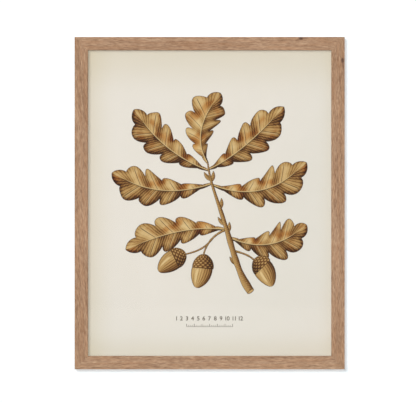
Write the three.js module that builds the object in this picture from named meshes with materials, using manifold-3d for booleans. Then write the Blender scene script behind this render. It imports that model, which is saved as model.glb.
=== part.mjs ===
// A framed art print for a wall: four mitred oak rails hold a clear acrylic sheet, a paper print
// and a backing board. Millimetres: +X to the viewer's right, +Z up, and the front faces -Y.
// The origin is the middle of the whole object, half way between its front and the wall.
import * as THREE from "three";
import { mergeVertices } from "three/addons/utils/BufferGeometryUtils.js";
import Module from "manifold-3d";

// The sheets inside the frame.
const sheetWidth = 400;
const sheetHeight = 500;
const glazingThickness = 1.5;
const paperThickness = 0.3;
const backingThickness = 3;
const airGap = 0.5; // between the glazing and the paper
const sheetGap = 0.1; // between two pieces that lie on each other

// The oak moulding, in cross-section.
const faceWidth = 21.5;
const mouldingDepth = 22;
const lipThickness = 4; // the wood in front of the glazing
const lipOverlap = 5.5; // how far the lip reaches in over the glazing
const sheetClearance = 1; // from a sheet's edge to the rebate's wall
const easedRadius = 0.5; // on the long edges
const glueLine = 0.04; // half of the gap between two mitred ends

// The fixings at the back.
const wallStandoff = 3; // from the back of the wood to the wall
const slotClearance = 0.15; // round whatever is driven into the wood
const cutPast = 1; // how far a cut runs on past the face that it opens

const vNailLeg = 5;
const vNailThickness = 0.5;
const vNailDepth = 10;
const vNailSunk = 0.2; // below the back of the wood
const vNailInsets = [5, 9.5]; // from the frame's two outer sides to the nail's own corner

const pointWidth = 8;
const pointReach = 10; // over the backing board, from the rebate's wall
const pointRoot = 6; // driven into the wood
const pointThickness = 0.5;
const pointsAcross = [-130, 0, 130]; // along the top and bottom rails
const pointsAlong = [-165, 0, 165]; // along the side rails

const hangerLength = 50;
const hangerHeight = 12;
const hangerThickness = 1;
const hangerTab = 9; // length of the flat end that a nail holds
const hangerBend = 4; // length of the slope up to the raised middle
const toothPitch = 3;
const toothFlat = 0.5;
const toothDepth = 1.8;
const toothGaps = 7;
const nailHoleClearance = 0.3;
const nailShankRadius = 0.7;
const nailHeadRadius = 2;
const nailHeadHeight = 0.8;
const nailLength = 10;
const nailTip = 1.5;

const bumperRadius = 5.5;
const bumperInset = 27; // from the frame's side to the bumper's centre
const bumperEdge = 0.8;

// Worked out from the sizes above.
const rebateWall = faceWidth - lipOverlap; // thickness of the wood beside the sheets
const halfWidth = sheetWidth / 2 + sheetClearance + rebateWall;
const halfHeight = sheetHeight / 2 + sheetClearance + rebateWall;
const frontY = -(mouldingDepth + wallStandoff) / 2;
const backY = frontY + mouldingDepth;
const wallY = backY + wallStandoff;
const shoulderY = frontY + lipThickness;
const glazingY = shoulderY + sheetGap;
const paperY = glazingY + glazingThickness + airGap;
const backingY = paperY + paperThickness + sheetGap;
const pointY = backingY + backingThickness + sheetGap;
const fixingY = backY + sheetGap; // the front of whatever lies on the back of the wood
const nailHeadY = fixingY + hangerThickness + sheetGap;
const nailX = (hangerLength - hangerTab) / 2;
const quarterTurn = Math.PI / 2;

const oak = new THREE.MeshStandardMaterial({ color: "#ae8b6e", roughness: 0.6, metalness: 0 });
const acrylic = new THREE.MeshStandardMaterial({
  color: "#f7fafa",
  roughness: 0.05,
  metalness: 0,
  transparent: true,
  opacity: 0.12,
});
const paper = new THREE.MeshStandardMaterial({ color: "#e6e2d6", roughness: 0.9, metalness: 0 });
const fibreboard = new THREE.MeshStandardMaterial({ color: "#94704f", roughness: 0.85, metalness: 0 });
const steel = new THREE.MeshStandardMaterial({ color: "#b4b6b8", roughness: 0.35, metalness: 1 });
const brass = new THREE.MeshStandardMaterial({ color: "#c2a25a", roughness: 0.32, metalness: 1 });
const felt = new THREE.MeshStandardMaterial({ color: "#5d4a3a", roughness: 0.95, metalness: 0 });

const wasm = await Module();
wasm.setup();

function solidOf(geometry) {
  const bare = geometry.clone();
  bare.deleteAttribute("normal");
  bare.deleteAttribute("uv");
  const merged = mergeVertices(bare);
  const vertProperties = new Float32Array(merged.attributes.position.array);
  const triVerts = new Uint32Array(merged.index.array);
  return new wasm.Manifold(new wasm.Mesh({ numProp: 3, vertProperties, triVerts }));
}

function geometryOf(solid) {
  const { vertProperties, triVerts } = solid.getMesh();
  const geometry = new THREE.BufferGeometry();
  geometry.setAttribute("position", new THREE.BufferAttribute(vertProperties, 3));
  geometry.setIndex(new THREE.BufferAttribute(triVerts, 1));
  geometry.computeVertexNormals();
  return geometry;
}

function cut(blank, cutters) {
  const solid = cutters.reduce((left, cutter) => left.subtract(solidOf(cutter)), solidOf(blank));
  return geometryOf(solid);
}

// An outline in X and Z, or in a rail's own along and inwards, from a list of corners.
function polygon(corners) {
  return new THREE.Shape(corners.map(([x, z]) => new THREE.Vector2(x, z)));
}

// An outline in X and Z, made solid from y to y + thickness.
function plate(outline, y, thickness) {
  const blank = new THREE.ExtrudeGeometry(outline, { depth: thickness, bevelEnabled: false });
  return blank.rotateX(quarterTurn).translate(0, y + thickness, 0);
}

function placed(name, geometry, material, { x = 0, y = 0, z = 0, turn = 0 } = {}) {
  const mesh = new THREE.Mesh(geometry, material);
  mesh.name = name;
  mesh.position.set(x, y, z);
  mesh.rotation.y = turn;
  return mesh;
}

// The four rails. Each is made lying along X, with its outer side at z = 0 and the picture below
// it, and is then turned about Y into its place.

function mouldingSection() {
  const r = easedRadius;
  const section = new THREE.Shape();
  section.moveTo(r, frontY);
  section.lineTo(faceWidth - r, frontY);
  section.absarc(faceWidth - r, frontY + r, r, -quarterTurn, 0, false);
  section.lineTo(faceWidth, shoulderY);
  section.lineTo(rebateWall, shoulderY);
  section.lineTo(rebateWall, backY);
  section.lineTo(r, backY);
  section.absarc(r, backY - r, r, quarterTurn, 2 * quarterTurn, false);
  section.lineTo(0, frontY + r);
  section.absarc(r, frontY + r, r, 2 * quarterTurn, 3 * quarterTurn, false);
  return section;
}

// The section is drawn inwards from the outer side, so an end cut back by the same distance is a mitre.
function mitredBlank(length) {
  const blank = new THREE.ExtrudeGeometry(mouldingSection(), {
    depth: length,
    bevelEnabled: false,
    curveSegments: 4,
  });
  const position = blank.attributes.position;
  for (let i = 0; i < position.count; i++) {
    const setback = position.getX(i) + glueLine;
    position.setZ(i, position.getZ(i) === 0 ? setback : length - setback);
  }
  return blank.translate(0, 0, -length / 2).rotateY(quarterTurn);
}

// A V-nail's two legs start at its corner on the mitre and run along the two rails.
function vNailSection(inset, margin) {
  const near = inset - margin;
  const far = inset + vNailLeg + margin;
  const inside = inset + vNailThickness + margin;
  return polygon([
    [near, near],
    [far, near],
    [far, inside],
    [inside, inside],
    [inside, far],
    [near, far],
  ]);
}

function vNail(inset) {
  return plate(vNailSection(inset, 0), backY - vNailSunk - vNailDepth, vNailDepth);
}

function vNailSlot(inset) {
  const depth = vNailDepth + vNailSunk + slotClearance;
  return plate(vNailSection(inset, slotClearance), backY - depth, depth + cutPast);
}

// A flat tab with a pointed root above z = 0, in the wood, and a round end below, over the board.
function pointOutline(margin) {
  const half = pointWidth / 2 + margin;
  const root = pointRoot + margin;
  const outline = new THREE.Shape();
  outline.moveTo(-half, root - half / 2);
  outline.lineTo(-half, half - pointReach);
  outline.absarc(0, half - pointReach, half, 2 * quarterTurn, 4 * quarterTurn, false);
  outline.lineTo(half, root - half / 2);
  outline.lineTo(0, root);
  return outline;
}

function framersPoint() {
  return plate(pointOutline(0), pointY, pointThickness);
}

function pointSlot() {
  return plate(pointOutline(slotClearance), pointY - slotClearance, pointThickness + 2 * slotClearance);
}

function nailHoles(radius, y, depth, z) {
  const hole = new THREE.CylinderGeometry(radius, radius, depth, 16).translate(0, y + depth / 2, z);
  return [-nailX, nailX].map((x) => hole.clone().translate(x, 0, 0));
}

function rail({ length, points, holdsHanger }) {
  const slots = vNailInsets.flatMap((inset) => [
    vNailSlot(inset).rotateY(quarterTurn).translate(-length / 2, 0, 0),
    vNailSlot(inset).rotateY(2 * quarterTurn).translate(length / 2, 0, 0),
  ]);
  const pointSlots = points.map((along) => pointSlot().translate(along, 0, -rebateWall));
  const nailEnd = nailHeadY - nailLength - slotClearance;
  const nailDepth = backY + cutPast - nailEnd;
  const holes = nailHoles(nailShankRadius + slotClearance, nailEnd, nailDepth, -rebateWall / 2);
  return cut(mitredBlank(length), [...slots, ...pointSlots, ...(holdsHanger ? holes : [])]);
}

const sides = [
  { name: "top", length: 2 * halfWidth, reach: halfHeight, points: pointsAcross, holdsHanger: true },
  { name: "right", length: 2 * halfHeight, reach: halfWidth, points: pointsAlong },
  { name: "bottom", length: 2 * halfWidth, reach: halfHeight, points: pointsAcross },
  { name: "left", length: 2 * halfHeight, reach: halfWidth, points: pointsAlong },
];

function frameSides() {
  return sides.map((side, i) => {
    const group = new THREE.Group();
    group.rotation.y = i * quarterTurn;
    group.add(placed(`rail_${side.name}`, rail(side), oak, { z: side.reach }));
    side.points.forEach((along, j) => {
      const place = { x: along, z: side.reach - rebateWall };
      group.add(placed(`framers_point_${side.name}_${j + 1}`, framersPoint(), steel, place));
    });
    return group;
  });
}

const cornerPlaces = [
  { name: "bottom_left", x: -halfWidth, z: -halfHeight },
  { name: "top_left", x: -halfWidth, z: halfHeight },
  { name: "top_right", x: halfWidth, z: halfHeight },
  { name: "bottom_right", x: halfWidth, z: -halfHeight },
];

function vNails() {
  return cornerPlaces.flatMap(({ name, x, z }, i) =>
    vNailInsets.map((inset, j) =>
      placed(`v_nail_${name}_${j + 1}`, vNail(inset), steel, { x, z, turn: i * quarterTurn }),
    ),
  );
}

// The sheets, from the front to the back.

function sheet(name, y, thickness, material) {
  const geometry = new THREE.BoxGeometry(sheetWidth, thickness, sheetHeight);
  return placed(name, geometry, material, { y: y + thickness / 2 });
}

// The sawtooth hanger: a bent strip with a nailed tab at each end and a raised, toothed middle.

function hangerStrip() {
  const end = hangerLength / 2;
  const tab = end - hangerTab;
  const raised = tab - hangerBend;
  const low = fixingY;
  const high = wallY - hangerThickness;
  const underside = [
    [-end, low],
    [-tab, low],
    [-raised, high],
    [raised, high],
    [tab, low],
    [end, low],
  ];
  const upperSide = underside.map(([x, y]) => [x, y + hangerThickness]).reverse();
  const strip = new THREE.ExtrudeGeometry(polygon([...underside, ...upperSide]), {
    depth: hangerHeight,
    bevelEnabled: false,
  });
  return strip.translate(0, 0, -hangerHeight / 2);
}

function toothGap() {
  const half = (toothPitch - toothFlat) / 2;
  const edge = -hangerHeight / 2;
  const outline = polygon([
    [-half, edge - cutPast],
    [half, edge - cutPast],
    [half, edge],
    [0, edge + toothDepth],
    [-half, edge],
  ]);
  return plate(outline, fixingY, wallStandoff + cutPast);
}

function hanger() {
  const gaps = Array.from({ length: toothGaps }, (_, i) =>
    toothGap().translate((i - (toothGaps - 1) / 2) * toothPitch, 0, 0),
  );
  const holeRadius = nailShankRadius + nailHoleClearance;
  const holes = nailHoles(holeRadius, fixingY - cutPast, hangerThickness + 2 * cutPast, 0);
  return cut(hangerStrip(), [...gaps, ...holes]);
}

// A turned piece: each corner of its profile is a radius and a distance along Y.
function turned(profile, segments) {
  return new THREE.LatheGeometry(
    profile.map(([radius, y]) => new THREE.Vector2(radius, y)),
    segments,
  );
}

function hangerNail() {
  const tipY = nailHeadY - nailLength;
  return turned(
    [
      [0, tipY],
      [nailShankRadius, tipY + nailTip],
      [nailShankRadius, nailHeadY],
      [nailHeadRadius, nailHeadY],
      [nailHeadRadius, nailHeadY + nailHeadHeight / 2],
      [nailHeadRadius / 2, nailHeadY + nailHeadHeight],
      [0, nailHeadY + nailHeadHeight],
    ],
    16,
  );
}

function hangerPieces() {
  const z = halfHeight - rebateWall / 2;
  return [
    placed("hanger", hanger(), brass, { z }),
    placed("hanger_nail_left", hangerNail(), steel, { x: -nailX, z }),
    placed("hanger_nail_right", hangerNail(), steel, { x: nailX, z }),
  ];
}

// The two felt bumpers that keep the frame's foot off the wall.

function bumper() {
  return turned(
    [
      [0, fixingY],
      [bumperRadius, fixingY],
      [bumperRadius, wallY - bumperEdge],
      [bumperRadius - bumperEdge, wallY],
      [0, wallY],
    ],
    32,
  );
}

function bumpers() {
  const x = halfWidth - bumperInset;
  const z = -(halfHeight - rebateWall / 2);
  return [
    placed("bumper_left", bumper(), felt, { x: -x, z }),
    placed("bumper_right", bumper(), felt, { x, z }),
  ];
}

const framedPrint = new THREE.Group();
framedPrint.add(
  ...frameSides(),
  ...vNails(),
  sheet("glazing", glazingY, glazingThickness, acrylic),
  sheet("print", paperY, paperThickness, paper),
  sheet("backing_board", backingY, backingThickness, fibreboard),
  ...hangerPieces(),
  ...bumpers(),
);

export default framedPrint;
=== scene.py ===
import math

import bmesh
import bpy
from mathutils import Matrix, Vector, kdtree, noise


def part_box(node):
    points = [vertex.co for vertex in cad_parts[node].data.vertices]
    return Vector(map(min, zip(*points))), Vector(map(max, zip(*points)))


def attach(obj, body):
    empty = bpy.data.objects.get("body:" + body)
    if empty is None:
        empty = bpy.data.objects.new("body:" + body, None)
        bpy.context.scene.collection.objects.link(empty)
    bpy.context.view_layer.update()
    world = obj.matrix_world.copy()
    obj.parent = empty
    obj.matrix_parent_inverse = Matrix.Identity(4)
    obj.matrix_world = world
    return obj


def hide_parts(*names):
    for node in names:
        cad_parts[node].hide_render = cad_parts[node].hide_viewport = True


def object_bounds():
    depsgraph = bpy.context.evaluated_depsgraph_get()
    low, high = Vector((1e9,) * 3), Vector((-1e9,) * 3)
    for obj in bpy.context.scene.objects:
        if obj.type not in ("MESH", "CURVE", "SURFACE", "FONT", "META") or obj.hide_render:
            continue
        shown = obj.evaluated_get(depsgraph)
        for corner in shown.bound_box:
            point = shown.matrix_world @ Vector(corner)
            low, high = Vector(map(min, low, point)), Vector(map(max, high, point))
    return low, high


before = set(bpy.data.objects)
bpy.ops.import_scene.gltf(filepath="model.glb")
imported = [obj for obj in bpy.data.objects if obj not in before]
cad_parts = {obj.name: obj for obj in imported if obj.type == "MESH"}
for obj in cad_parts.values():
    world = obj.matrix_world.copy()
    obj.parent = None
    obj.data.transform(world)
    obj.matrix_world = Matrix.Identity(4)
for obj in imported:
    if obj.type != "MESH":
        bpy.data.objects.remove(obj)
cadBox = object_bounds()
print("frame loaded:", len(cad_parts), "pieces")

mm = 0.001  # in metres
uprightTurn = Matrix.Rotation(math.radians(90), 3, "X")  # from lying flat to facing the front


# shader graphs: arithmetic on a wire adds Math nodes

class Wire:
    def __init__(self, graph, socket):
        self.graph = graph
        self.socket = socket

    def calc(self, operation, *values):
        return self.graph.calc(operation, *values)

    def __add__(self, other):
        return self.calc("ADD", self, other)

    def __radd__(self, other):
        return self.calc("ADD", other, self)

    def __sub__(self, other):
        return self.calc("SUBTRACT", self, other)

    def __rsub__(self, other):
        return self.calc("SUBTRACT", other, self)

    def __mul__(self, other):
        return self.calc("MULTIPLY", self, other)

    def __rmul__(self, other):
        return self.calc("MULTIPLY", other, self)

    def __truediv__(self, other):
        return self.calc("DIVIDE", self, other)

    def __rtruediv__(self, other):
        return self.calc("DIVIDE", other, self)

    def __pow__(self, other):
        return self.calc("POWER", self, other)

    def __abs__(self):
        return self.calc("ABSOLUTE", self)

    def most(self, other):
        return self.calc("MAXIMUM", self, other)

    def wave(self):  # 0 to 1 and back, once a turn
        return self.calc("SINE", self * math.tau) * 0.5 + 0.5

    def rise(self, low, high, bottom=0.0, top=1.0):  # a smooth step from bottom to top
        settings = {"interpolation_type": "SMOOTHSTEP"}
        inputs = {"Value": self, "From Min": low, "From Max": high, "To Min": bottom, "To Max": top}
        return self.graph.node("ShaderNodeMapRange", settings, inputs)

    def fall(self, low, high):  # the same step, from 1 to 0
        return 1 - self.rise(low, high)


class Graph:
    def __init__(self, tree):
        self.tree = tree
        self.tree.nodes.clear()

    def node(self, kind, settings=None, inputs=None, output=0):
        made = self.tree.nodes.new(kind)
        for key, value in (settings or {}).items():
            if key == "stops":
                self.fillRamp(made.color_ramp, value)
            else:
                setattr(made, key, value)
        for key, value in (inputs or {}).items():
            if isinstance(value, Wire):
                self.tree.links.new(value.socket, made.inputs[key])
            else:
                made.inputs[key].default_value = value
        return Wire(self, made.outputs[output]) if made.outputs else None

    def calc(self, operation, *values):
        return self.node("ShaderNodeMath", {"operation": operation}, dict(enumerate(values)))

    def fillRamp(self, ramp, stops):
        while len(ramp.elements) < len(stops):
            ramp.elements.new(1.0)
        for element, (place, colour) in zip(ramp.elements, stops):
            element.position = place
            element.color = (*colour, 1)

    def place(self):  # X, Y and Z on the object, in metres
        spot = self.node("ShaderNodeTexCoord", output="Object")
        return self.split(spot)

    def split(self, vector):
        return [self.node("ShaderNodeSeparateXYZ", None, {0: vector}, axis) for axis in "XYZ"]

    def vector(self, x, y, z):
        return self.node("ShaderNodeCombineXYZ", None, {0: x, 1: y, 2: z})

    def noise(self, vector, scale=1.0, detail=2.0, rough=0.5):
        inputs = {"Vector": vector, "Scale": scale, "Detail": detail, "Roughness": rough}
        return self.node("ShaderNodeTexNoise", None, inputs)

    def ramp(self, value, stops):
        return self.node("ShaderNodeValToRGB", {"stops": stops}, {0: value})

    def mix(self, factor, first, second, blend="MIX"):
        colours = [c if isinstance(c, Wire) else (*c, 1) for c in (first, second)]
        settings = {"data_type": "RGBA", "blend_type": blend}
        return self.node("ShaderNodeMix", settings, {0: factor, 6: colours[0], 7: colours[1]}, 2)

    def bump(self, height, distance, strength):
        inputs = {"Height": height, "Distance": distance, "Strength": strength}
        return self.node("ShaderNodeBump", None, inputs)


class Finish(Graph):
    def __init__(self, name):
        self.material = bpy.data.materials.new(name)
        self.material.use_nodes = True
        super().__init__(self.material.node_tree)

    def close(self, shader):
        self.node("ShaderNodeOutputMaterial", None, {"Surface": shader})
        return self.material

    def surface(self, colour, roughness, metallic=0.0, **sockets):
        inputs = {"Base Color": colour, "Roughness": roughness, "Metallic": metallic, **sockets}
        return self.close(self.node("ShaderNodeBsdfPrincipled", None, inputs))


# where the sheets lie, read off the frame

frameLow, frameHigh = cadBox
faceWidth = 21.5 * mm
sightHalf = Vector((frameHigh.x - faceWidth, 0, frameHigh.z - faceWidth))  # half of the opening
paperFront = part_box("print")[0].y
wallY = frameHigh.y


# camera: straight on, far back, so that the frame fills its place in the picture

camera = {
    "distance": 5.0,
    "sensor": 36,  # mm
    "sight": 30,  # metres, as far as it sees
    "imageWidth": 416,  # pixels
    "imageHeight": 403,
    "frameWidth": 270.2,  # pixels, over the frame's 434 mm
    "frameCentre": (209.63, 203.12),  # pixels, from the top left
}


def addCamera():
    pixel = (frameHigh.x - frameLow.x) / camera["frameWidth"]
    data = bpy.data.cameras.new("camera")
    data.sensor_width = camera["sensor"]
    toFront = camera["distance"] + frameLow.y
    data.lens = data.sensor_width * toFront / (pixel * camera["imageWidth"])
    data.clip_end = camera["sight"]
    view = bpy.data.objects.new("camera", data)
    right = camera["imageWidth"] / 2 - camera["frameCentre"][0]
    up = camera["frameCentre"][1] - camera["imageHeight"] / 2
    view.location = (right * pixel, -camera["distance"], up * pixel)
    view.rotation_euler = (math.radians(90), 0, 0)
    bpy.context.scene.collection.objects.link(view)
    bpy.context.scene.camera = view


addCamera()
print("camera placed")


# light: a lamp's power follows from its share and its distance, so that moving it keeps its light

studio = {
    "level": 1.46,
    "watts": math.pi ** 3 / 4,  # a metre away, for a share of 1
    "leastFacing": 0.5,  # how squarely the front is taken to be lit by a lamp at the side
    "lamps": [  # share: how much of the light on a front facing surface it gives
        {"name": "key", "from": (-0.62, -1.0, 0.42), "distance": 12.0, "size": 7.2, "share": 0.34},
        {"name": "front", "from": (-0.04, -1.0, 0.04), "distance": 10.0, "size": 1.6, "share": 0.56},
        {"name": "wallLight", "from": (-0.17, -1.0, 0.19), "distance": 10.0, "size": 1.9, "share": 0.43},
        {"name": "behind", "from": (-0.5, 1.0, 0.7), "distance": 3.0, "size": 1.6, "share": 0.60},
        {"name": "side", "from": (1.0, 0.25, -0.1), "distance": 3.0, "size": 1.6, "share": 0.16},
        {"name": "under", "from": (0.1, 0.4, -1.0), "distance": 3.0, "size": 1.6, "share": 0.24},
    ],
    "sky": 0.10,
    "backdrop": 1.0,
}


def addLamp(facts):
    data = bpy.data.lights.new(facts["name"], "AREA")
    data.shape = "DISK"
    data.size = facts["size"]
    direction = Vector(facts["from"]).normalized()
    facing = max(abs(direction.y), studio["leastFacing"])
    level = facts["share"] * studio["level"]
    data.energy = level * studio["watts"] * facts["distance"] ** 2 / facing
    lamp = bpy.data.objects.new(facts["name"], data)
    lamp.location = direction * facts["distance"]
    lamp.rotation_mode = "QUATERNION"
    lamp.rotation_quaternion = direction.to_track_quat("Z", "Y")
    lamp.visible_camera = False
    lamp.visible_glossy = direction.y > 0  # or the glazing would show those in front
    bpy.context.scene.collection.objects.link(lamp)


def addSky():
    world = bpy.data.worlds.new("studio")
    world.use_nodes = True
    bpy.context.scene.world = world
    sky = Graph(world.node_tree)
    seen = sky.node("ShaderNodeLightPath", output="Is Camera Ray")
    fill = studio["sky"] * studio["level"]
    strength = seen * (studio["backdrop"] - fill) + fill
    light = sky.node("ShaderNodeBackground", None, {"Color": (1, 1, 1, 1), "Strength": strength})
    sky.node("ShaderNodeOutputWorld", None, {"Surface": light})
    bpy.context.scene.view_settings.view_transform = "Standard"


for lampFacts in studio["lamps"]:
    addLamp(lampFacts)
addSky()


# stage: a white wall and a pale floor, each seen from its front only

stage = {
    "wall": {"colour": (0.89, 0.96, 1.0), "glow": 0.515, "size": 6.0, "behind": 0.3 * mm},
    "floor": {"colour": (0.80, 0.79, 0.77), "glow": 0.70, "size": 60.0, "z": -1.2},
}


def stageFinish(name):
    facts = stage[name]
    paint = Finish("plain_" + name)
    back = paint.node("ShaderNodeNewGeometry", output="Backfacing")
    colour = (*facts["colour"], 1)
    matt = paint.node("ShaderNodeBsdfDiffuse", None, {"Color": colour})
    glow = paint.node("ShaderNodeEmission", None, {"Color": colour, "Strength": facts["glow"]})
    front = paint.node("ShaderNodeAddShader", None, {0: matt, 1: glow})
    clear = paint.node("ShaderNodeBsdfTransparent")
    return paint.close(paint.node("ShaderNodeMixShader", None, {0: back, 1: front, 2: clear}))


def addPlane(name, turn, place, unseenBy):
    bm = bmesh.new()
    bmesh.ops.create_grid(bm, x_segments=1, y_segments=1, size=stage[name]["size"] / 2)
    bmesh.ops.rotate(bm, verts=bm.verts, matrix=Matrix.Rotation(turn, 3, "X"))
    bmesh.ops.translate(bm, verts=bm.verts, vec=place)
    mesh = bpy.data.meshes.new(name)
    bm.to_mesh(mesh)
    bm.free()
    mesh.materials.append(stageFinish(name))
    plane = bpy.data.objects.new(name, mesh)
    bpy.context.scene.collection.objects.link(plane)
    for kind in unseenBy:
        setattr(plane, "visible_" + kind, False)
    return plane


def addStage():
    wallPlace = (0, wallY + stage["wall"]["behind"], 0)
    wall = addPlane("wall", math.radians(90), wallPlace, ("diffuse", "glossy", "transmission", "shadow"))
    # the wall has a lamp of its own
    for lamp, state in (("key", "EXCLUDE"), ("front", "EXCLUDE"), ("wallLight", "INCLUDE")):
        linked = bpy.data.collections.new("linked_to_" + lamp)
        linked.objects.link(wall)
        linked.collection_objects[0].light_linking.link_state = state
        bpy.data.objects[lamp].light_linking.receiver_collection = linked
    addPlane("floor", 0, (0, 0, stage["floor"]["z"]), ("diffuse", "shadow"))  # only gloss picks it up


addStage()
print("light and stage set")


# oak: fine straight grain along each rail

oak = {
    "stops": [(0.32, (0.218, 0.117, 0.060)), (0.5, (0.398, 0.246, 0.151)), (0.68, (0.577, 0.394, 0.258))],
    "pore": (0.178, 0.092, 0.052),
    "red": (0.435, 0.225, 0.114),
    "raw": (0.50, 0.36, 0.24),
    "knot": (0.075, 0.035, 0.028),
    "rails": {
        "rail_top": {"level": True, "slope": 0.01, "tone": -0.005, "contrast": 0.86},
        "rail_right": {"level": False, "slope": 0.015, "tone": -0.011, "contrast": 1.0},
        "rail_bottom": {"level": True, "slope": -0.01, "tone": 0.001, "contrast": 1.0},
        "rail_left": {"level": False, "slope": 0.07, "tone": -0.025, "contrast": 1.0},
    },
    "knots": {  # how far along and across, its radius, then where its dark streak lies, in mm
        "rail_top": (146.6, 264.5, 3.0, 5),
        "rail_right": (229.3, 213.6, 3.7, -9),
    },
    "knotShape": {
        "narrow": 0.6,  # its width over its length
        "bend": 0.55,  # how far it pushes the grain aside
        "bendReach": (0.6, 7),  # mm
        "core": 0.27,  # share of its radius that is darkest
        "darkness": 0.92,
        "ring": 0.55,  # mm from ring to ring
        "ringWaver": 1.6,  # mm
        "ringNoise": 800,
        "ringShares": (0.84, 0.32),  # what is dark between rings, and what a ring adds
        "tailNarrow": 0.16,
        "tailAside": 0.8,  # mm
        "tailReach": (0.2, 1.7),  # mm
        "tailDarkness": 0.55,
    },
    "waver": (4, 12, 9, 0.014),  # noise cells a metre along, across and inwards, and metres of wandering
    "layers": {  # noise cells a metre along, across and inwards, where it starts, detail, roughness
        "bands": (7, 210, 210, 0, 2, 0.5),
        "streaks": (120, 680, 680, 0, 2, 0.5),
        "fibres": (170, 2100, 2100, 0, 2, 0.6),
        "red": (20, 260, 260, 9, 1, 0.5),
        "coarsePores": (75, 1500, 900, 5, 1, 0.5),
        "finePores": (130, 3200, 1800, 3, 1, 0.5),
    },
    "steps": {"red": (0.40, 0.66), "coarsePores": (0.60, 0.67), "finePores": (0.58, 0.66)},
    "shares": {"bands": 0.25, "streaks": 0.52, "fibres": 0.23},
    "strengths": {"red": 0.30, "pore": 0.7, "knot": 0.9, "raw": 0.45},
    "rawFrom": (9.2, 9.45),  # mm along Y: the back was never finished
    "relief": 0.25 * mm,
}


def knotMarks(wood, rail, along, across, spot):  # how far the grain bends, and how dark it gets
    knotAlong, knotAcross, radius, tail = oak["knots"][rail]
    shape = oak["knotShape"]
    past = along - knotAlong * mm
    beside = across - knotAcross * mm
    apart = ((past * shape["narrow"]) ** 2 + beside ** 2) ** 0.5
    start, end = shape["bendReach"]
    bend = apart.rise(start * mm, end * mm, 1.0, 0.0) * beside * shape["bend"]
    waver = (wood.noise(spot, shape["ringNoise"]) - 0.5) * shape["ringWaver"] * mm
    rings = ((apart + waver) / (shape["ring"] * mm)).wave()
    dark = apart.rise(radius * shape["core"] * mm, radius * mm, shape["darkness"], 0.0)
    between, added = shape["ringShares"]
    dark = dark * (between + rings * added)
    streak = ((past - tail * mm) * shape["tailNarrow"]) ** 2 + (beside - shape["tailAside"] * mm) ** 2
    start, end = shape["tailReach"]
    return bend, dark.most((streak ** 0.5).rise(start * mm, end * mm, shape["tailDarkness"], 0.0))


def oakFinish(rail, seed):
    facts = oak["rails"][rail]
    shares = oak["shares"]
    strengths = oak["strengths"]
    wood = Finish("oak_" + rail)
    x, y, z = wood.place()
    along, across = (x, z) if facts["level"] else (z, x)
    alongCells, acrossCells, inwardCells, wander = oak["waver"]
    waver = wood.noise(wood.vector(along * alongCells, across * acrossCells, y * inwardCells + seed))
    grain = across + along * facts["slope"]
    grain = grain + (waver - 0.5) * wander
    dark = None
    if rail in oak["knots"]:
        bend, dark = knotMarks(wood, rail, along, across, wood.vector(x, y, z))
        grain = grain + bend
    depth = y + seed

    def layer(name):
        alongCells, acrossCells, inwardCells, start, detail, rough = oak["layers"][name]
        place = wood.vector(along * alongCells, grain * acrossCells, depth * inwardCells + start)
        return wood.noise(place, detail=detail, rough=rough)

    def patches(name):
        return layer(name).rise(*oak["steps"][name])

    bands = layer("bands")
    streaks = layer("streaks")
    value = bands * shares["bands"] + streaks * shares["streaks"] + layer("fibres") * shares["fibres"] - 0.5
    value = value * facts["contrast"] + 0.5 + facts["tone"]
    colour = wood.ramp(value, oak["stops"])
    colour = wood.mix(patches("red") * strengths["red"], colour, oak["red"])
    fine = patches("finePores") * (0.4 + bands.rise(0.4, 0.6, 0.5, 0.0))
    pores = patches("coarsePores").most(fine)
    colour = wood.mix(pores * strengths["pore"], colour, oak["pore"])
    if dark:
        colour = wood.mix(dark * strengths["knot"], colour, oak["knot"])
    start, end = oak["rawFrom"]
    raw = y.rise(start * mm, end * mm)
    colour = wood.mix(raw * strengths["raw"], colour, oak["raw"])
    height = value * 0.7 - pores * 0.8
    rough = 0.5 + streaks * 0.18 + raw * 0.2
    return wood.surface(colour, rough, Normal=wood.bump(height, oak["relief"], 0.6))


for seed, rail in enumerate(oak["rails"]):
    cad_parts[rail].data.materials[0] = oakFinish(rail, seed * 1.37)
print("oak finished")


# paper: cream, browned towards its edges

paper = {
    "clean": (0.749, 0.711, 0.647),
    "aged": (0.525, 0.440, 0.240),
    "spot": (0.60, 0.48, 0.30),
    "freshness": 0.956,  # even the middle has aged a little
    "cloud": 14,  # noise cells a metre
    "tooth": 1400,
    "spots": 210,
    "spotZones": 17,
    "waver": 0.3,  # of a fade's reach
    "shares": {"cloud": 0.12, "tooth": 0.05, "spots": 0.35},
    "relief": 0.05 * mm,
    "roughness": 0.82,
    "fades": {  # from where to where, in mm inside the frame, and how strong
        "left": (-20, 48, 0.39),
        "right": (-12, 26, 0.17),
        "top": (0, 80, 0.302),
        "bottom": (0, 45, 0.215),
    },
    "dims": [  # a tint over one part of the sheet: which way along X and Z, from where to where, in mm
        {"tint": (0.965, 0.978, 0.976), "towards": (1, -0.5), "reach": (-20, 170)},
        {"tint": (0.940, 0.950, 0.945), "towards": (-0.5, -1), "reach": (150, 360)},
        {"tint": (0.992, 0.975, 0.965), "towards": (0.8, -1), "reach": (200, 400)},
    ],
}


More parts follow.
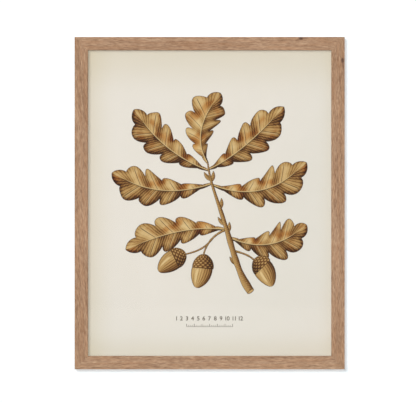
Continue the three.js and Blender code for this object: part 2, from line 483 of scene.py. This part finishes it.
def paperFinish():
    sheet = Finish("aged_paper")
    shares = paper["shares"]
    x, _, z = sheet.place()
    flat = sheet.vector(x, 0.0, z)
    cloud = sheet.noise(flat, paper["cloud"], 3) - 0.5
    insides = {
        "left": sightHalf.x + x,
        "right": sightHalf.x - x,
        "top": sightHalf.z - z,
        "bottom": sightHalf.z + z,
    }
    clean = 1.0
    for side, (start, end, share) in paper["fades"].items():
        reach = (end - start) * mm
        wavering = insides[side] + cloud * reach * paper["waver"]
        fade = wavering.rise(start * mm, end * mm, share, 0.0)
        clean = (1 - fade) * clean
    worn = 1 - clean * paper["freshness"]
    colour = sheet.mix(worn + cloud * shares["cloud"], paper["clean"], paper["aged"])
    tooth = sheet.noise(flat, paper["tooth"], 3, 0.6)
    colour = sheet.mix((tooth - 0.5) * shares["tooth"] + shares["tooth"] / 2, colour, paper["aged"])
    zones = sheet.noise(flat, paper["spotZones"], 1).rise(0.5, 0.62)
    spots = sheet.noise(flat, paper["spots"], 1).rise(0.71, 0.78) * zones
    colour = sheet.mix(spots * shares["spots"], colour, paper["spot"])
    for dim in paper["dims"]:
        alongX, alongZ = dim["towards"]
        start, end = dim["reach"]
        share = (x * alongX + z * alongZ).rise(start * mm, end * mm)
        colour = sheet.mix(share, colour, dim["tint"], "MULTIPLY")
    return sheet.surface(colour, paper["roughness"], Normal=sheet.bump(tooth, paper["relief"], 0.4))


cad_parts["print"].data.materials[0] = paperFinish()
print("paper finished")


# clear acrylic: it mirrors at its front face only, and lets the rest through

acrylic = {"index": 1.49, "roughness": 0.03}


def acrylicFinish():
    pane = Finish("clear_acrylic")
    front = 1 - pane.node("ShaderNodeNewGeometry", output="Backfacing")
    mirrored = pane.node("ShaderNodeFresnel", None, {"IOR": acrylic["index"]}) * front
    clear = pane.node("ShaderNodeBsdfTransparent")
    shine = pane.node("ShaderNodeBsdfGlossy", None, {"Roughness": acrylic["roughness"]})
    return pane.close(pane.node("ShaderNodeMixShader", None, {0: mirrored, 1: clear, 2: shine}))


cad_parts["glazing"].data.materials[0] = acrylicFinish()
print("glazing finished")


# fibreboard at the back, with the print of the screen that it was pressed on

board = {
    "stops": [(0.36, (0.200, 0.108, 0.055)), (0.52, (0.298, 0.172, 0.092)), (0.66, (0.392, 0.246, 0.142))],
    "fleck": (0.120, 0.062, 0.032),
    "screen": 1.6 * mm,  # from one wire to the next
    "cloud": 26,  # noise cells a metre
    "fibre": 950,
    "flecks": (700, 700, 330),
    "relief": 0.15 * mm,
}


def boardFinish():
    pressed = Finish("fibreboard")
    x, y, z = pressed.place()
    spot = pressed.vector(x, y, z)
    cloud = pressed.noise(spot, board["cloud"], 3)
    fibre = pressed.noise(spot, board["fibre"], 3, 0.65)
    colour = pressed.ramp(cloud * 0.22 + fibre * 0.78, board["stops"])
    long, deep, tall = board["flecks"]
    flecks = pressed.noise(pressed.vector(x * long, y * deep, z * tall)).rise(0.62, 0.70)
    colour = pressed.mix(flecks * 0.6, colour, board["fleck"])
    screen = (x / board["screen"]).wave() * (z / board["screen"]).wave()
    height = screen * 0.7 + fibre * 0.5
    bump = pressed.bump(height, board["relief"], 0.7)
    return pressed.surface(colour, 0.78 + fibre * 0.15, Normal=bump)


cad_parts["backing_board"].data.materials[0] = boardFinish()
print("backing board finished")


# steel and brass fixings

metals = {
    "steel": {"clean": (0.600, 0.610, 0.620), "dull": (0.330, 0.335, 0.340), "rough": 0.26},
    "brass": {"clean": (0.800, 0.575, 0.270), "dull": (0.470, 0.310, 0.120), "rough": 0.22},
}
metalWear = {"cloud": 150, "rubbed": (700, 700, 5200), "relief": 0.02 * mm}  # noise cells a metre


def metalFinish(name):
    facts = metals[name]
    metal = Finish("worn_" + name)
    x, y, z = metal.place()
    spot = metal.vector(x, y, z)
    cloud = metal.noise(spot, metalWear["cloud"])
    long, deep, tall = metalWear["rubbed"]
    rubbed = metal.noise(metal.vector(x * long, y * deep, z * tall))
    dull = (cloud * 0.7 + rubbed * 0.3).rise(0.36, 0.68)
    colour = metal.mix(dull * 0.45, facts["clean"], facts["dull"])
    rough = facts["rough"] + dull * 0.24 + rubbed * 0.12
    return metal.surface(colour, rough, 1.0, Normal=metal.bump(rubbed, metalWear["relief"], 0.5))


steel = metalFinish("steel")
brass = metalFinish("brass")
for name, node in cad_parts.items():
    if name.startswith(("v_nail", "framers_point", "hanger_nail")):
        node.data.materials[0] = steel


def standUp(bm, place):  # turns what was drawn flat to the front, then moves it
    bmesh.ops.rotate(bm, verts=bm.verts, matrix=uprightTurn)
    bmesh.ops.translate(bm, verts=bm.verts, vec=place)


def makePiece(name, bm, material, smooth=False):
    mesh = bpy.data.meshes.new(name)
    bm.to_mesh(mesh)
    bm.free()
    mesh.materials.append(material)
    if smooth:
        for face in mesh.polygons:
            face.use_smooth = True
    piece = bpy.data.objects.new(name, mesh)
    bpy.context.scene.collection.objects.link(piece)
    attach(piece, "root")
    return piece


fixings = {
    "merge": 0.001 * mm,
    "flat": 1,  # degrees: a fold under this is flat
    "sharp": 25,  # and one over this is an edge
    "hangerRound": 0.14 * mm,
    "pointRound": 0.08 * mm,
}


def soften(node, width):  # a copy of a pressed part with its sharp edges rolled over
    bm = bmesh.new()
    bm.from_mesh(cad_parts[node].data)
    bmesh.ops.remove_doubles(bm, verts=bm.verts, dist=fixings["merge"])
    flat = math.radians(fixings["flat"])
    bmesh.ops.dissolve_limit(bm, angle_limit=flat, verts=bm.verts, edges=bm.edges)
    sharp = [edge for edge in bm.edges if edge.calc_face_angle(0) > math.radians(fixings["sharp"])]
    bmesh.ops.bevel(
        bm,
        geom=sharp,
        offset=width,
        segments=2,
        profile=0.5,
        affect="EDGES",
        clamp_overlap=True,
        material=-1,
    )
    bmesh.ops.triangulate(bm, faces=bm.faces)
    return bm


def addFixings():
    hanger = makePiece("sawtooth_hanger", soften("hanger", fixings["hangerRound"]), brass)
    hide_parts("hanger")
    for name in list(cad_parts):
        if name.startswith("framers_point"):
            tab = makePiece(name + "_tab", soften(name, fixings["pointRound"]), steel)
            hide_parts(name)


nail = {
    "shank": 0.7 * mm,  # radius
    "head": 2.0 * mm,  # radius
    "point": 1.5 * mm,  # length
    "headDepth": 0.8 * mm,
    "rim": 0.3 * mm,
    "dome": 0.5 * mm,
    "domeTurns": (0.0, 0.4, 0.8, 1.2),  # radians
    "steps": 32,
}


def nailProfile(low, high):  # radius and distance along Y, with a domed head
    shank = nail["shank"]
    head = nail["head"]
    crown = high - nail["headDepth"]
    dome = []
    for turn in nail["domeTurns"]:
        dome.append((head * math.cos(turn), crown + nail["rim"] + nail["dome"] * math.sin(turn)))
    return [(0, low), (shank, low + nail["point"]), (shank, crown), (head, crown), *dome, (0, high)]


def addNails():
    for side in ("left", "right"):
        low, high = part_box("hanger_nail_" + side)
        bm = bmesh.new()
        corners = [bm.verts.new((radius, y, 0)) for radius, y in nailProfile(low.y, high.y)]
        chain = [bm.edges.new(pair) for pair in zip(corners, corners[1:])]
        bmesh.ops.spin(
            bm,
            geom=corners + chain,
            cent=(0, 0, 0),
            axis=(0, 1, 0),
            angle=math.tau,
            steps=nail["steps"],
            use_merge=True,
        )
        bmesh.ops.remove_doubles(bm, verts=bm.verts, dist=fixings["merge"])
        bmesh.ops.recalc_face_normals(bm, faces=bm.faces)
        bmesh.ops.translate(bm, verts=bm.verts, vec=((low.x + high.x) / 2, 0, (low.z + high.z) / 2))
        turned = makePiece("hanger_nail_%s_round" % side, bm, steel, smooth=True)
        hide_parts("hanger_nail_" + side)


addFixings()
addNails()
print("fixings finished")


# felt bumpers: a soft pad with a napped surface

felt = {
    "dark": (0.050, 0.034, 0.024),
    "light": (0.135, 0.098, 0.070),
    "hairs": 2600,  # noise cells a metre
    "clumps": 620,
    "relief": 0.2 * mm,
    "edge": 0.7 * mm,
    "nap": 0.16 * mm,
    "napCells": 1.3,  # a millimetre
    "sides": 48,
    "cuts": 4,  # round its wall
    "insets": 3,  # on each end
    "inset": 0.2,  # of the radius
}


def feltFinish():
    pad = Finish("felt")
    x, y, z = pad.place()
    spot = pad.vector(x, y, z)
    hairs = pad.noise(spot, felt["hairs"], 3, 0.7)
    clump = pad.noise(spot, felt["clumps"])
    colour = pad.mix((hairs * 0.6 + clump * 0.4).rise(0.36, 0.64), felt["dark"], felt["light"])
    sockets = {"Sheen Weight": 0.5, "Sheen Roughness": 0.6, "Specular IOR Level": 0.15}
    return pad.surface(colour, 0.95, Normal=pad.bump(hairs + clump, felt["relief"], 0.8), **sockets)


def padEnds(bm):  # the only faces with more than four corners
    return [face for face in bm.faces if len(face.verts) > 4]


def feltPad(radius, depth, seed):
    bm = bmesh.new()
    sizes = {"radius1": radius, "radius2": radius, "depth": depth}
    bmesh.ops.create_cone(bm, cap_ends=True, cap_tris=False, segments=felt["sides"], **sizes)
    rims = [edge for edge in bm.edges if abs(edge.calc_face_angle(0)) > math.radians(60)]
    bmesh.ops.bevel(
        bm, geom=rims, offset=felt["edge"], segments=3, profile=0.5, affect="EDGES", material=-1
    )
    walls = [edge for edge in bm.edges if abs(edge.verts[0].co.z - edge.verts[1].co.z) > depth / 2]
    bmesh.ops.subdivide_edges(bm, edges=walls, cuts=felt["cuts"], use_grid_fill=True)
    for _ in range(felt["insets"]):
        inset = radius * felt["inset"]
        bmesh.ops.inset_region(bm, faces=padEnds(bm), thickness=inset, use_even_offset=True)
    bmesh.ops.poke(bm, faces=padEnds(bm))
    for vert in bm.verts:
        nap = noise.noise(vert.co / mm * felt["napCells"] + seed) * felt["nap"]
        vert.co += vert.normal * nap
    return bm


def addBumpers():
    material = feltFinish()
    for side in ("left", "right"):
        low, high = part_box("bumper_" + side)
        middle = (low + high) / 2
        radius = (high.x - low.x) / 2 - felt["nap"]
        depth = high.y - low.y - felt["nap"]
        bm = feltPad(radius, depth, middle / mm)
        standUp(bm, middle)
        pad = makePiece("felt_bumper_" + side, bm, material, smooth=True)
        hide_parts("bumper_" + side)


addBumpers()
print("felt bumpers finished")


# the printed design: an oak sprig with acorns. Each patch of ink is a thin sheet on its own level
# in front of the paper, and holds where each point lies on it, so that its shading can follow it

ink = {
    "thickness": 0.02 * mm,
    "step": 0.03 * mm,  # from level to level
    "merge": 0.02 * mm,
    "sliver": 0.005 * mm,
    "light": (1, -1),  # which way it falls: from the upper left
    "rim": 0.001,  # share of a patch that counts as its outline
    "nudge": 0.01,  # share of a curve over which its heading is read
    "lengthSteps": 40,
    "roughness": 0.8,
}


def onCurve(points, u):  # a Bezier curve through its first and last point
    spots = [Vector(p) for p in points]
    while len(spots) > 1:
        spots = [a.lerp(b, u) for a, b in zip(spots, spots[1:])]
    return spots[0]


def curveLength(points):
    steps = ink["lengthSteps"]
    spots = [onCurve(points, i / steps) for i in range(steps + 1)]
    return sum((b - a).length for a, b in zip(spots, spots[1:]))


def headings(points, u):  # along the curve, and to its left
    nudge = ink["nudge"]
    ahead = (onCurve(points, min(u + nudge, 1)) - onCurve(points, max(u - nudge, 0))).normalized()
    return ahead, Vector((-ahead.y, ahead.x))


# a shape gives, for u from 0 to 1 along it and v from -1 to 1 across it: a point, how far along
# and across that is in mm, and how many veins were passed

def strip(points, halfWidth):  # a shape along a curve, as wide as halfWidth says
    length = curveLength(points)

    def shape(u, v):
        _, aside = headings(points, u)
        reach = v * halfWidth(u)
        return onCurve(points, u) + aside * reach, u * length, reach, 0

    return shape


def startInk():
    bm = bmesh.new()
    place = bm.verts.layers.float_vector.new("place")  # along and across in mm, and -1 to 1 across
    edge = bm.verts.layers.float_vector.new("edge")  # mm from the outline, tone, vein count
    return bm, place, edge


def addPatch(ground, shape, cells, level, tone=0.0, closedTip=True):
    bm, place, edge = ground
    y = paperFront - ink["step"] * (level + 1)
    start, end = shape(0, 0)[0], shape(1, 0)[0]
    shaded = 1 if (end - start).cross(Vector(ink["light"])) > 0 else -1
    made = bmesh.ops.create_grid(bm, x_segments=cells[0], y_segments=cells[1], size=0.5)
    outline = []
    first, last = ink["rim"], 1 - ink["rim"]
    for vert in made["verts"]:
        u = min(max(vert.co.x + 0.5, 0.0), 1.0)
        v = min(max(vert.co.y * 2, -1.0), 1.0)
        spot, along, across, count = shape(u, v)
        vert[place] = (along, shaded * across, shaded * v)
        vert[edge] = (0, tone, count)
        vert.co = (spot.x * mm, y, spot.y * mm)
        if abs(v) > last or u < first or (closedTip and u > last):
            outline.append(vert.co.copy())
    tree = kdtree.KDTree(len(outline))
    for index, spot in enumerate(outline):
        tree.insert(spot, index)
    tree.balance()
    for vert in made["verts"]:
        near = tree.find(vert.co)[2] / mm
        vert[edge] = (near, *vert[edge][1:])


def finishInk(name, bm, material):
    bmesh.ops.remove_doubles(bm, verts=bm.verts, dist=ink["merge"])
    piece = makePiece(name, bm, material)
    skin = piece.modifiers.new("thickness", "SOLIDIFY")
    skin.thickness = ink["thickness"]
    skin.offset = 0


class InkFinish(Finish):
    def __init__(self, name):
        super().__init__(name)
        place = self.node("ShaderNodeAttribute", {"attribute_name": "place"}, output="Vector")
        edge = self.node("ShaderNodeAttribute", {"attribute_name": "edge"}, output="Vector")
        self.along, self.across, self.side = self.split(place)
        self.rim, self.tone, self.veins = self.split(edge)
        self.sheet = self.vector(self.along, self.across, self.tone * 90)  # its tone sets each apart

    def lines(self, place, spacing, value):  # engraved lines that thicken as the tone darkens
        wobble = self.noise(self.sheet, 0.22) * 0.5
        ridge = (place / spacing + wobble).wave()
        return (ridge - value * 1.25 + 0.05).rise(-0.18, 0.18)

    def line(self, place, low, high, share, colour, name="line"):  # drawn where place is under low
        return self.mix(place.fall(low, high) * share, colour, tones[name])

    def outlined(self, colour, low, high):
        return self.surface(self.line(self.rim, low, high, 0.9, colour), ink["roughness"])


# tones of the ink, from dark umber to pale buff

tones = {
    "stops": [
        (0.00, (0.038, 0.016, 0.005)),
        (0.20, (0.110, 0.043, 0.013)),
        (0.40, (0.234, 0.116, 0.034)),
        (0.58, (0.370, 0.213, 0.068)),
        (0.76, (0.498, 0.322, 0.123)),
        (1.00, (0.645, 0.480, 0.235)),
    ],
    "line": (0.036, 0.016, 0.006),
    "pale": (0.610, 0.450, 0.215),
    "rust": (0.250, 0.085, 0.028),
}


# the sprig's main twig, from its sawn end to its tip, in mm from the sheet's middle

twigSpine = [(66, -142), (30, -92), (36, -28), (2, 8), (-3, 66)]


# leaves: how far up the twig, bend and tip, then half width, level and tone

leaves = {
    "cells": (240, 26),
    "each": [
        {"from": 0.99, "spine": [(-30, 108), (4, 158)], "half": 34.0, "level": 7, "tone": 0.06},
        {"from": 0.95, "spine": [(44, 74), (104, 138)], "half": 33.5, "level": 5, "tone": -0.02},
        {"from": 0.94, "spine": [(-66, 76), (-108, 132)], "half": 33.5, "level": 4, "tone": -0.05},
        {"from": 0.83, "spine": [(80, 0), (138, 50)], "half": 34.5, "level": 3, "tone": 0.03},
        {"from": 0.84, "spine": [(-72, 6), (-136, 38)], "half": 34.5, "level": 6, "tone": 0.0},
        {"from": 0.47, "spine": [(-40, -34), (-114, -66)], "half": 33.5, "level": 2, "tone": 0.04},
        {"from": 0.41, "spine": [(90, -82), (138, -48)], "half": 32.5, "level": 2, "tone": 0.0},
    ],
    "body": [(0, 0.03), (0.25, 0.16), (0.5, 1.30), (0.75, 1.25), (1, 0.66)],  # half width along it
    "lobes": 5,
    "sinus": 0.50,  # depth of the bays between the lobes
    "lean": 36,  # degrees that the side veins lean forward
    "stalk": 1.0,  # mm, half width
    "ragged": 0.25,  # how unlike each other the lobes are
    "lobePower": 0.62,
    "tipFrom": 0.7,  # where the side veins start to turn to the tip
    "tipPower": 2.6,
    "fineLines": 1 / 7,  # of the way from vein to vein
    "crossLines": 2.6,  # mm
    "veinShadow": 0.055,  # from a vein to its shadow
    "ribShadow": 1.5,  # mm
}


def leaf(facts, seed):
    points = [onCurve(twigSpine, facts["from"]), *facts["spine"]]
    length = curveLength(points)
    lean = math.radians(leaves["lean"])

    def shape(u, v):
        side = 1 if v > 0 else -1
        ahead, aside = headings(points, u)
        ragged = noise.noise(Vector((u * 6, seed * 3.7 + side * 2.5, 0)))
        offset = 0.5 + side * 0.10 * (1 - u) * (1 if seed % 2 else -1)
        phase = u * leaves["lobes"] + offset
        lobe = math.sin(math.pi * (phase % 1)) ** leaves["lobePower"]
        depth = leaves["sinus"] * (1 + 0.5 * ragged) * min(1, 1.6 - u)
        body = facts["half"] * onCurve(leaves["body"], u).y
        body = body * (1 + leaves["ragged"] * ragged * (1 - u ** 4))
        reach = abs(v) * (body * (1 - depth * (1 - lobe)) + leaves["stalk"])
        toTip = max(0, (u - leaves["tipFrom"]) / (1 - leaves["tipFrom"]))
        turn = lean + (math.pi / 2 - lean) * toTip ** leaves["tipPower"]
        turn = turn - 0.16 * abs(v) * (1 - u)
        spot = onCurve(points, u) + aside * side * reach * math.cos(turn) + ahead * reach * math.sin(turn)
        return spot, u * length + reach * 0.5, side * reach, phase - 0.5

    return shape


def leafFinish():
    drawn = InkFinish("ink_leaf")
    count = drawn.calc("FRACT", drawn.veins + 4)
    apart = 0.5 - abs(count - 0.5)
    shadow = drawn.side.rise(-0.04, 0.04)
    value = 0.72 + drawn.tone - shadow * 0.15
    value = value + ((count + 0.12).wave() - 0.5) * 0.26
    value = value + (drawn.noise(drawn.sheet, 0.045, 3) - 0.5) * 0.62
    value = value - drawn.rim.fall(0.0, 7.0) * (0.10 + shadow * 0.16)
    value = value - abs(drawn.across).fall(0.0, 9.0) * shadow * 0.12
    fine = drawn.lines(drawn.veins, leaves["fineLines"], value)
    cross = drawn.lines(drawn.along, leaves["crossLines"], value + 0.24)
    value = value - fine * 0.27 - cross * 0.14
    colour = drawn.ramp(value, tones["stops"])
    rust = drawn.noise(drawn.sheet, 0.035).rise(0.50, 0.68) * 0.75
    colour = drawn.mix(rust, colour, tones["rust"], "SOFT_LIGHT")
    reach = drawn.rim.rise(1.0, 8.0)
    dark = abs(count - leaves["veinShadow"]).fall(0.012, 0.030) * reach
    pale = apart.fall(0.014, 0.030) * reach
    colour = drawn.mix(dark * 0.75, colour, tones["line"])
    colour = drawn.mix(pale * 0.7, colour, tones["pale"])
    rib = abs(drawn.across)
    colour = drawn.line(abs(drawn.across - leaves["ribShadow"]), 0.3, 0.9, 0.85, colour)
    colour = drawn.line(rib, 0.6, 1.1, 0.8, colour, "pale")
    return drawn.outlined(colour, 0.45, 0.9)


def addLeaves():
    ground = startInk()
    for seed, facts in enumerate(leaves["each"]):
        shape = leaf(facts, seed)
        addPatch(ground, shape, leaves["cells"], facts["level"], facts["tone"], closedTip=False)
    finishInk("print_leaves", ground[0], leafFinish())


addLeaves()
print("leaves printed")


# twig, stalks and buds. A stalk starts on another: which one, and how far along it

twig = {
    "cells": (160, 8),
    "each": [
        {"spine": twigSpine, "half": (6.2, 1.2), "level": 9},
        {"from": (0, 0.47), "spine": [(6, -50), (-6, -66), (-10, -84)], "half": (1.9, 1.3), "level": 8},
        {"from": (1, 0.42), "spine": [(-8, -74), (-22, -78), (-38, -82)], "half": (1.5, 1.3), "level": 7.5},
        {"from": (0, 0.31), "spine": [(50, -80), (62, -82), (72, -92)], "half": (1.9, 1.4), "level": 8},
    ],
    "budCells": (40, 16),
    "buds": [(0.87, 1), (0.86, -1), (0.64, -1), (0.51, 1), (0.45, -1), (0.21, 1)],  # share of the twig, side
    "bud": {"ahead": (5, 15), "aside": (6, 7.5), "half": 3.3, "level": 8.5},
    "cut": {"half": 2.4, "length": 1.05, "cells": (24, 12)},  # mm, and share of the twig's width
    "least": 0.05,  # mm, half width of a closed end
    "knobbly": 0.25,
    "barkLines": 3.6,  # mm
    "budScale": 2.6,  # mm
}


def twigFinish():
    drawn = InkFinish("ink_twig")
    value = 0.60 - drawn.side * 0.28 - (drawn.side ** 2) * 0.16
    streak = drawn.noise(drawn.vector(drawn.along * 0.25, drawn.across * 2, 0), detail=3)
    value = value + (streak - 0.5) * 0.6
    bark = drawn.lines(drawn.along + drawn.across * 0.9, twig["barkLines"], value)
    return drawn.outlined(drawn.ramp(value - bark * 0.2, tones["stops"]), 0.4, 0.8)


def cutFinish():
    drawn = InkFinish("ink_cut")
    rings = (drawn.rim * 0.9).wave()
    return drawn.outlined(drawn.ramp(0.72 + drawn.rim * 0.08 - rings * 0.2, tones["stops"]), 0.5, 1.1)


def addTwig():
    ground = startInk()
    spines = []
    for seed, facts in enumerate(twig["each"]):
        start, end = facts["half"]
        spine = list(facts["spine"])
        if "from" in facts:
            parent, share = facts["from"]
            spine.insert(0, onCurve(spines[parent], share))
        spines.append(spine)

        def halfWidth(u):
            knot = noise.noise(Vector((u * 9, seed * 5.1, 0)))
            return (start + (end - start) * u) * (1 + twig["knobbly"] * knot)

        addPatch(ground, strip(spine, halfWidth), twig["cells"], facts["level"])
    finishInk("print_twig", ground[0], twigFinish())


def addCut():  # the sawn end of the twig
    ground = startInk()
    facts = twig["each"][0]
    cut = twig["cut"]
    _, aside = headings(facts["spine"], 0)
    end = onCurve(facts["spine"], 0)
    reach = aside * facts["half"][0] * cut["length"]

    def halfWidth(u):
        return cut["half"] * math.sin(math.pi * u) ** 0.5 + twig["least"]

    addPatch(ground, strip([end - reach, end + reach], halfWidth), cut["cells"], facts["level"] + 1)
    finishInk("print_cut", ground[0], cutFinish())


def budFinish():
    drawn = InkFinish("ink_bud")
    row = drawn.calc("FRACT", drawn.along / twig["budScale"] - abs(drawn.side) * 0.5)
    value = 0.62 - drawn.side * 0.25 - row.rise(0.55, 0.95) * 0.4
    return drawn.outlined(drawn.ramp(value, tones["stops"]), 0.4, 0.8)


def budWidth(u):
    return twig["bud"]["half"] * math.sin(math.pi * (0.18 + 0.82 * u)) ** 0.8 + twig["least"]


def addBuds():
    ground = startInk()
    facts = twig["bud"]
    for share, side in twig["buds"]:
        ahead, aside = headings(twigSpine, share)
        base = onCurve(twigSpine, share)
        spine = [base]
        for up, out in zip(facts["ahead"], facts["aside"]):
            spine.append(base + ahead * up + aside * side * out)
        addPatch(ground, strip(spine, budWidth), twig["budCells"], facts["level"])
    finishInk("print_buds", ground[0], budFinish())


addTwig()
addCut()
addBuds()
print("twig printed")


# acorns: where the cup meets its stalk, a bend, where the nut ends, half width, level

acorns = {
    "cells": (64, 32),
    "cupShare": 0.40,  # of the acorn's length
    "tip": 1.2,  # mm, half width of the point at the nut's end
    "tipTo": 0.985,
    "cupWider": 1.12,  # than the nut
    "lipFrom": 0.93,
    "lip": 0.97,  # where the cup turns in
    "nutLines": 0.26,
    "scales": (0.46, 3.2),  # width as a turn in radians, and height in mm
    "each": [
        {"spine": [(-10, -82), (-8, -112), (-22, -136)], "half": 15.5, "level": 10, "tone": 0.04},
        {"spine": [(-38, -82), (-62, -88), (-82, -110)], "half": 15.0, "level": 9, "tone": -0.02},
        {"spine": [(71, -91), (92, -102), (100, -134)], "half": 15.5, "level": 9, "tone": 0.02},
    ],
}


def nutWidth(u, half):
    swell = min(1, math.sin(math.pi * (0.30 + 0.70 * u)) ** 0.62)
    return half * swell + (acorns["tip"] if u < acorns["tipTo"] else 0)


def cupWidth(u, half):
    swell = math.sin(math.pi / 2 * min(1, u * 1.08 + 0.02)) ** 0.5
    return half * acorns["cupWider"] * swell * (1 if u < acorns["lipFrom"] else acorns["lip"])


def nutFinish():
    drawn = InkFinish("ink_nut")
    swell = (1 - drawn.side ** 2).most(0.0) ** 0.5
    value = 0.26 + swell * 0.42 - drawn.side * 0.24 + drawn.tone
    lengthwise = drawn.along.rise(8, 14) * drawn.along.fall(26, 36)
    value = value + abs(drawn.side + 0.42).fall(0.0, 0.20) * lengthwise * 0.32
    streak = drawn.noise(drawn.vector(drawn.along * 0.04, drawn.side * 8, drawn.tone * 80)) - 0.5
    value = value + streak * 0.45
    fine = drawn.lines(drawn.calc("ARCSINE", drawn.side * 0.99), acorns["nutLines"], value)
    return drawn.outlined(drawn.ramp(value - fine * 0.24, tones["stops"]), 0.5, 1.0)


def cupFinish():
    drawn = InkFinish("ink_cup")
    wide, tall = acorns["scales"]
    turn = drawn.calc("ARCSINE", drawn.side * 0.98) / wide
    row = drawn.along / tall
    odd = drawn.calc("FRACT", drawn.calc("FLOOR", row) * 0.5)
    cellX = drawn.calc("FRACT", turn + odd + 8) - 0.5
    cellY = drawn.calc("FRACT", row) - 0.5
    scale = ((cellX * 1.5) ** 2 + ((cellY + 0.12) * 1.2) ** 2) ** 0.5
    value = 0.66 - drawn.side * 0.24 - scale.rise(0.20, 0.60) * 0.50 - cellX * 0.15 + drawn.tone
    value = value - drawn.side ** 2 * 0.20
    return drawn.outlined(drawn.ramp(value, tones["stops"]), 0.4, 1.0)


def addAcorns():
    nuts = startInk()
    cups = startInk()
    for facts in acorns["each"]:
        half = facts["half"]
        spine = facts["spine"]
        share = acorns["cupShare"]
        cup = [onCurve(spine, 0), onCurve(spine, share / 2), onCurve(spine, share)]
        nut = [onCurve(spine, share * 0.7), onCurve(spine, 0.5 + share * 0.35), onCurve(spine, 1)]
        nutShape = strip(nut, lambda u: nutWidth(u, half))
        cupShape = strip(cup, lambda u: cupWidth(u, half))
        addPatch(nuts, nutShape, acorns["cells"], facts["level"], facts["tone"])
        addPatch(cups, cupShape, acorns["cells"], facts["level"] + 1, facts["tone"])
    finishInk("print_nuts", nuts[0], nutFinish())
    finishInk("print_cups", cups[0], cupFinish())


addAcorns()
print("acorns printed")


# under the design, plain numbers over a thin rule, where such a sheet has its caption

caption = {
    "numbers": [str(n) for n in range(1, 13)],
    "width": 107,  # mm
    "height": 9.3,  # the font's size in mm
    "bolder": 0.15,  # mm, added all round each stroke
    "spacing": 0.84,  # between the two digits of a number
    "numbersZ": -188.6,
    "ruleZ": -198.5,
    "ruleWidth": 74,
    "ruleHeight": 0.5,
    "ticks": 25,
    "tick": (0.60, 2.4),  # mm, width and height
    "longTick": (0.85, 4.2),
    "longEvery": 4,
    "patches": 900,  # noise cells a metre
    "ink": (0.022, 0.015, 0.010),
    "faintInk": (0.072, 0.054, 0.040),
}


def captionFinish(name, colour):
    printed = Finish(name)
    x, _, z = printed.place()
    patchy = printed.noise(printed.vector(x, 0.0, z), caption["patches"]).rise(0.35, 0.7)
    return printed.surface(printed.mix(patchy * 0.3, colour, paper["aged"]), ink["roughness"])


def thicken(bm, amount):  # moves the outline of flat faces outwards
    outward = {}
    for edge in bm.edges:
        if edge.is_boundary:
            corner = edge.link_loops[0]
            along = corner.link_loop_next.vert.co - corner.vert.co
            outward[edge] = along.cross(corner.face.normal).normalized()
    for vert in bm.verts:
        sides = [outward[edge] for edge in vert.link_edges if edge in outward]
        if len(sides) == 2:
            vert.co += (sides[0] + sides[1]) * amount / max(1 + sides[0].dot(sides[1]), 0.5)


def numberGlyphs():  # a flat mesh for each number
    curve = bpy.data.curves.new("number", "FONT")
    curve.size = caption["height"] * mm
    curve.space_character = caption["spacing"]
    label = bpy.data.objects.new("number", curve)
    bpy.context.scene.collection.objects.link(label)
    glyphs = []
    for number in caption["numbers"]:
        curve.body = number
        bpy.context.view_layer.update()
        glyph = bmesh.new()
        glyph.from_mesh(label.to_mesh())
        label.to_mesh_clear()
        glyphs.append(glyph)
    bpy.data.objects.remove(label)
    return glyphs


def addNumbers():
    glyphs = numberGlyphs()
    spans = [(min(v.co.x for v in glyph.verts), max(v.co.x for v in glyph.verts)) for glyph in glyphs]
    gap = (caption["width"] * mm - sum(right - left for left, right in spans)) / (len(glyphs) - 1)
    place = -caption["width"] * mm / 2
    bm = bmesh.new()
    for glyph, (left, right) in zip(glyphs, spans):
        bmesh.ops.translate(glyph, verts=glyph.verts, vec=(place - left, 0, 0))
        mesh = bpy.data.meshes.new("number")
        glyph.to_mesh(mesh)
        glyph.free()
        bm.from_mesh(mesh)
        bpy.data.meshes.remove(mesh)
        place += right - left + gap
    bmesh.ops.remove_doubles(bm, verts=bm.verts, dist=ink["merge"])
    bmesh.ops.dissolve_degenerate(bm, edges=bm.edges, dist=ink["sliver"])
    bm.normal_update()
    thicken(bm, caption["bolder"] * mm)
    standUp(bm, (0, paperFront - ink["step"], caption["numbersZ"] * mm))
    finishInk("print_numbers", bm, captionFinish("ink_numbers", caption["ink"]))


def addRule():  # a bar with a column for each tick, whose top edges are drawn up
    bm = bmesh.new()
    count = caption["ticks"]
    every = caption["longEvery"]
    sizes = [caption["tick" if index % every else "longTick"] for index in range(count)]
    bmesh.ops.create_grid(bm, x_segments=2 * count - 1, y_segments=1, size=0.5)
    for vert in bm.verts:
        index, right = divmod(round((vert.co.x + 0.5) * (2 * count - 1)), 2)
        middle = (index / (count - 1) - 0.5) * caption["ruleWidth"]
        vert.co.x = (middle + (right - 0.5) * sizes[index][0]) * mm
        vert.co.y = 0 if vert.co.y > 0 else -caption["ruleHeight"] * mm
    tops = [edge for edge in bm.edges if edge.verts[0].co.y == edge.verts[1].co.y == 0]
    tops.sort(key=lambda edge: edge.verts[0].co.x + edge.verts[1].co.x)
    for edge, size in zip(tops[::2], sizes):
        drawn = bmesh.ops.extrude_edge_only(bm, edges=[edge])["geom"]
        corners = [part for part in drawn if isinstance(part, bmesh.types.BMVert)]
        bmesh.ops.translate(bm, verts=corners, vec=(0, size[1] * mm, 0))
    standUp(bm, (0, paperFront - ink["step"], caption["ruleZ"] * mm))
    finishInk("print_rule", bm, captionFinish("ink_rule", caption["faintInk"]))


addNumbers()
addRule()
print("caption printed")
